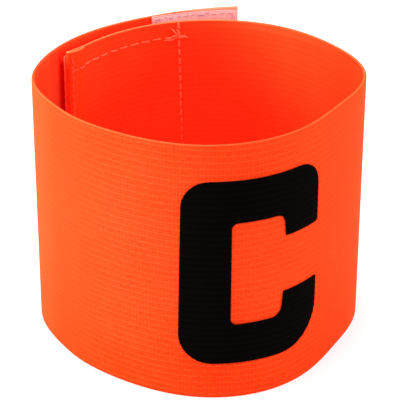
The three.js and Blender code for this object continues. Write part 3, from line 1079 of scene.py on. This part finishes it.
# The captain's letter


def letter_film(letter):
    """The block letter as a flat film about the origin, seen from its back, in millimetres."""
    width, height = letter.width / MM, letter.height / MM
    stem, arm = width / 2 - letter.stem / MM, height / 2 - letter.arm / MM
    end, mouth = width / 2 - letter.terminal / MM, arm - letter.terminal_drop / MM
    piece = flat_sheet("block_letter_c", width, height)
    for x in (-end, stem):
        cut(x=x)
    for y in (-arm, -mouth, mouth, arm):
        cut(y=y)

    def in_counter(middle):
        return (-end < middle.x < stem and abs(middle.y) < arm) or (
            middle.x < -end and abs(middle.y) < mouth
        )

    choose(piece, "FACE", in_counter)
    bpy.ops.mesh.delete(type="FACE")
    bpy.ops.mesh.select_all(action="SELECT")
    bpy.ops.mesh.dissolve_faces()
    tops = [(side * width / 2, height / 2) for side in (-1, 1)]
    feet = [(side * width / 2, -height / 2) for side in (-1, 1)]
    insides = [(x, y) for x in (-end, stem) for y in (-arm, arm)]
    mouths = [(x, y) for x in (-width / 2, -end) for y in (-mouth, mouth)]
    corners = np.array([*tops, *feet, *insides[2:], *insides[:2], *mouths])
    choose(piece, "VERT", lambda point: np.hypot(*(corners - point[:2]).T).min() > AT_CORNER)
    bpy.ops.mesh.dissolve_verts()
    for places, radius, steps in (
        (tops, letter.top_corner, 10),
        (feet[:1], letter.foot_corner + letter.blunt_foot, 10),
        (feet[1:], letter.foot_corner, 10),
        (insides[:2], letter.inner_corner, 6),
        (insides[2:], letter.stem_corner, 6),
        (mouths[1:2], letter.blunt_end, 4),
    ):
        round_corners(piece, places, radius / MM, steps)
    grid_cuts(width, height, FILM_GRID)
    bpy.ops.object.mode_set(mode="OBJECT")
    points = points_of(piece)
    x, y = points[:, :2].T.copy()
    end_slant = np.interp(y, (-arm, -mouth, mouth, arm), END_SLANT)
    stem_slant = np.interp(y, (-arm, arm), STEM_SLANT)
    points[:, 0] += end_slant * np.interp(x, (-width / 2, -end, stem), (0, 1, 0))
    points[:, 0] -= stem_slant * np.interp(x, (-end, stem, width / 2), (0, 1, 0))
    points[:, 1] -= np.interp(y, (-height / 2, -arm, -mouth), FOOT_SAG)
    set_points(piece, points)
    return piece


class ARMBAND_OT_letter(bpy.types.Operator):
    """Press the flocked letter onto the front"""

    bl_idname = "armband.letter"
    bl_label = "Captain's Letter"

    def execute(self, context):
        letter, webbing, colours = settings(context, "letter", "webbing", "colours")
        piece = letter_film(letter)
        thicken(piece, letter.flock / MM, FILM_EDGE)
        points = points_of(piece)
        turn = INNER_END_HEADING + 360 - LETTER_HEADING
        middle = np.interp(turn, WALL.turns, WALL.distances)
        points[:, 0] += middle - math.tan(math.radians(LETTER_LEAN)) * points[:, 1]
        points[:, 1] += BAND_WIDTH / 2 + LETTER_RISE
        ridge = rib_relief(points[:, 0] + HEM_LENGTH, points[:, 1], webbing.ribs)
        points[:, 2] += FILM_OFFSET + FILM_RIBS * ridge
        set_points(piece, points)
        bend_onto_loop(piece)
        finish_piece(piece, flock_material(colours, webbing))
        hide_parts("letter_c")
        area = sum(face.area for face in piece.data.polygons) / 2
        area = min(area, letter.width * letter.height)
        return {"FINISHED"}


# Stitching


def stitch_shape(stitches):
    """One stitch: a short arch of thread whose ends go into the cloth."""
    half = stitches.stitch / MM / 2
    share = np.linspace(-1, 1, 7)
    rise = stitches.thread / MM * (0.25 - 0.75 * np.abs(share) ** 5)
    return thread_shape(np.stack([share * half, np.zeros(7), rise], axis=1), stitches.thread / MM)


def stitch_line(start, end, pitch):
    """Middles and directions of the stitches on one straight seam of the flat strip."""
    start, end = np.array(start, float), np.array(end, float)
    length = np.hypot(*(end - start))
    count = max(1, round(length / pitch))
    shares = (np.arange(count) + 0.5) / count
    middles = start + shares[:, None] * (end - start)
    return middles, np.full(count, math.atan2(end[1] - start[1], end[0] - start[0]))


def sew(name, seams, surface, facing, stitches, seed, closeness, stray):
    """Sews seams on one face of the strip. The surface gives the face's offset at each place."""
    chance = np.random.default_rng(seed)
    pitch = stitches.pitch / MM * closeness
    lines = [stitch_line(start, end, pitch * length) for start, end, length, _ in seams]
    middles = np.concatenate([line[0] for line in lines])
    shapes = [np.tile((*seam[2:], 1.0), (len(line[0]), 1)) for line, seam in zip(lines, seams)]
    turns = np.concatenate([line[1] for line in lines]) + chance.normal(0, stray, len(middles))
    sizes = closeness + chance.normal(0, stray, len(middles))
    sizes = np.concatenate(shapes) * sizes[:, None]
    places = np.zeros((len(middles), 3))
    places[:, :2] = middles + chance.normal(0, stray, middles.shape)
    piece = scatter(name, stitch_shape(stitches), places, turns, sizes)
    points = points_of(piece)
    points[:, 2] = surface(points[:, 0]) + facing * points[:, 2]
    set_points(piece, points)
    bend_onto_loop(piece)
    return piece


# Seams that hold the loop patch, in millimetres along and up the strip, then how long and how wide
# their stitches are as shares of the usual stitch
LOOP_SEAMS = (
    ((0.3, 73.6), (0.3, 1.4), 0.9, 0.9),
    ((43.8, 75.0), (45.3, 1.4), 0.9, 1.3),
    ((0.1, 69.2), (46.4, 70.3), 1.27, 0.85),
    ((0.1, 4.2), (45.2, 4.2), 1.27, 0.85),
)


def hook_seams():
    """Seams round the hook patch, a little in from its edges, as the loop patch's are given."""
    start, end = HOOK_PATCH_START + HOOK_SEAM_SIDES, WALL.length - HOOK_SEAM_SIDES
    top = HOOK_PATCH_TOP - HOOK_SEAM_TOP
    foot = HOOK_PATCH_TOP - HOOK_PATCH_HEIGHT + HOOK_SEAM_FOOT
    drop = HOOK_PATCH_SLOPE * (end - start)
    low_end = foot - drop + HOOK_SEAM_TILT
    corners = ((start, top), (end, top - drop), (end, low_end), (start, foot))
    return tuple((*sides, 1.0, 1.0) for sides in zip(corners, corners[1:] + corners[:1]))


class ARMBAND_OT_stitching(bpy.types.Operator):
    """Sew the seams that hold the two patches"""

    bl_idname = "armband.stitching"
    bl_label = "Stitching"

    def execute(self, context):
        stitches, webbing, closure, colours = settings(
            context, "stitches", "webbing", "closure", "colours"
        )
        thread = thread_material("orange_thread", colours.thread, THREAD_GLOW)
        # Thread on the hook tape, coloured partly as painted shade of its dimples
        tape_thread_and_dimple_shade = thread_material("tape_thread_and_dimple_shade", colours.tape_thread_and_dimple_shade, 0.0)
        tape = closure.tape / MM

        def inner_face(distance):
            """The folded layer's free face, and the strip's own inner face past the hem."""
            hem = folded_layer(np.minimum(distance, HEM_LENGTH), webbing, PRESSED_FACE)
            past = progress(distance, HEM_LENGTH, HEM_LENGTH + HEM_STEP)
            return (hem - BAND_THICKNESS / 2) * (1 - past) - FACE_OFFSET * past

        def level(offset):
            """A face that stands the same way off the strip everywhere."""
            return lambda distance: np.full(len(distance), offset)

        over_loop_tape = level(LOOP_TAPE_OFFSET + tape)
        over_hook_tape = level(-HOOK_TAPE_OFFSET - tape)
        outer_face = level(FACE_OFFSET)
        rounds = hook_seams()
        for name, seams, surface, facing, seed, closeness, stray in (
            ("loop_seam_inside", LOOP_SEAMS, inner_face, -1, 3, 1.0, 0.05),
            ("loop_seam_outside", LOOP_SEAMS, over_loop_tape, 1, 4, 1.0, 0.05),
            ("hook_seam_inside", rounds, over_hook_tape, -1, 5, 0.7, 0.15),
            ("hook_seam_outside", rounds, outer_face, 1, 6, 0.7, 0.1),
        ):
            piece = sew(name, seams, surface, facing, stitches, seed, closeness, stray)
            on_tape = surface is over_hook_tape
            finish_piece(piece, tape_thread_and_dimple_shade if on_tape else thread)
        return {"FINISHED"}


# Loose ends of thread where the seams cross, as distance, height and offset in millimetres
LOOSE_ENDS = (
    ((43.6, 70.5, -0.6), (42.8, 71.4, -0.9), (42.1, 72.4, -1.0), (41.4, 73.0, -0.8)),
    ((43.7, 70.9, -0.7), (42.0, 70.7, -1.1), (40.6, 69.9, -1.0), (39.2, 69.3, -0.7)),
    ((43.4, 70.5, -0.7), (42.2, 69.7, -1.0), (40.8, 69.5, -1.0), (39.5, 69.4, -0.7)),
    ((43.3, 70.5, -0.7), (44.5, 70.1, -1.0), (45.7, 70.1, -0.9), (46.7, 69.8, -0.7)),
    ((43.2, 70.9, -0.6), (44.2, 70.8, -1.1), (44.0, 69.9, -1.1), (43.2, 70.0, -0.6)),
    ((43.1, 72.6, -0.7), (43.9, 71.8, -1.1), (43.7, 71.0, -1.2), (43.5, 70.2, -0.7)),
)


class ARMBAND_OT_thread_ends(bpy.types.Operator):
    """Leave the loose thread ends where the seams cross"""

    bl_idname = "armband.thread_ends"
    bl_label = "Thread Ends"

    def execute(self, context):
        stitches, colours = settings(context, "stitches", "colours")
        points, faces, count = [], [], 0
        for path in LOOSE_ENDS:
            shape, skin = thread_shape(path, stitches.thread / MM)
            points.append(shape)
            faces.extend(tuple(corner + count for corner in face) for face in skin)
            count += len(shape)
        piece = piece_from("loose_thread_ends", np.concatenate(points), faces)
        bend_onto_loop(piece)
        material = thread_material("loose_thread", colours.thread, THREAD_GLOW)
        finish_piece(piece, material)
        return {"FINISHED"}


# Floor, light and camera

# Each lamp's name, place, aim, size and power, and the strength of the room's even light
LAMPS = (
    ("overhead", (0, 0.05, 0.9), (0, 0, 0), 0.8, 6.5),
    ("left_key", (-0.95, -0.12, 0.38), (0, 0, 0.04), 0.6, 22.0),
    ("right_fill", (1.0, -0.12, 0.2), (0, 0, 0.04), 0.5, 7.0),
)
ROOM_LIGHT = 0.52


def soft_lamp(name, place, aim, size, power):
    """A square soft lamp that looks at a point."""
    deselect_everything()
    bpy.ops.object.light_add(type="AREA", location=place)
    lamp = bpy.context.object
    lamp.name = name
    lamp.data.size = size
    lamp.data.energy = power
    direction = lamp.location - type(lamp.location)(aim)
    lamp.rotation_euler = direction.to_track_quat("Z", "Y").to_euler()


class ARMBAND_OT_stage(bpy.types.Operator):
    """Lay the pale floor and set the light and the camera"""

    bl_idname = "armband.stage"
    bl_label = "Floor, Light and Camera"

    def execute(self, context):
        scene = context.scene
        deselect_everything()
        bpy.ops.mesh.primitive_plane_add(size=8)
        floor = context.object
        floor.name = "pale_floor"
        floor.data.materials.append(floor_material(*settings(context, "colours")))
        world = bpy.data.worlds.new("soft_room")
        world.use_nodes = True
        background = world.node_tree.nodes["Background"]
        background.inputs["Color"].default_value = (1, 1, 1, 1)
        background.inputs["Strength"].default_value = ROOM_LIGHT
        scene.world = world
        for lamp in LAMPS:
            soft_lamp(*lamp)
        scene.view_settings.view_transform = "Standard"
        camera = bpy.data.objects.new("camera", bpy.data.cameras.new("camera"))
        camera.data.lens = CAMERA_LENS
        camera.data.sensor_width = 36
        scene.collection.objects.link(camera)
        tilt = Matrix.Rotation(math.radians(90 - CAMERA_PITCH), 4, "X")
        roll = Matrix.Rotation(math.radians(CAMERA_ROLL), 4, "Z")
        camera.matrix_world = Matrix.Translation(CAMERA_PLACE) @ tilt @ roll
        scene.camera = camera
        return {"FINISHED"}


OPERATORS = (
    ARMBAND_OT_webbing,
    ARMBAND_OT_loop_patch,
    ARMBAND_OT_hook_patch,
    ARMBAND_OT_letter,
    ARMBAND_OT_stitching,
    ARMBAND_OT_thread_ends,
    ARMBAND_OT_stage,
)


class ARMBAND_PT_panel(bpy.types.Panel):
    """The armband's pieces and settings"""

    bl_idname = "ARMBAND_PT_panel"
    bl_label = "Captain Armband"
    bl_space_type = "VIEW_3D"
    bl_region_type = "UI"
    bl_category = "Armband"

    def draw(self, context):
        for operator in OPERATORS:
            self.layout.operator(operator.bl_idname)
        for name, group in GROUPS.items():
            box = self.layout.box()
            box.label(text=group.__doc__)
            for setting in group.__annotations__:
                box.prop(getattr(context.scene, name), setting)


CLASSES = (*GROUPS.values(), *OPERATORS, ARMBAND_PT_panel)


def register():
    """Adds the settings, the operators and the panel."""
    for each in CLASSES:
        bpy.utils.register_class(each)
    for name, group in GROUPS.items():
        setattr(bpy.types.Scene, name, bpy.props.PointerProperty(type=group))


def unregister():
    """Takes the settings, the operators and the panel away."""
    for name in GROUPS:
        delattr(bpy.types.Scene, name)
    for each in reversed(CLASSES):
        bpy.utils.unregister_class(each)


def main():
    """Builds the whole armband and its stage, in order."""
    register()
    for operator in OPERATORS:
        group, name = operator.bl_idname.split(".")
        getattr(getattr(bpy.ops, group), name)()
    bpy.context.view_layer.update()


if __name__ == "__main__":
    main()
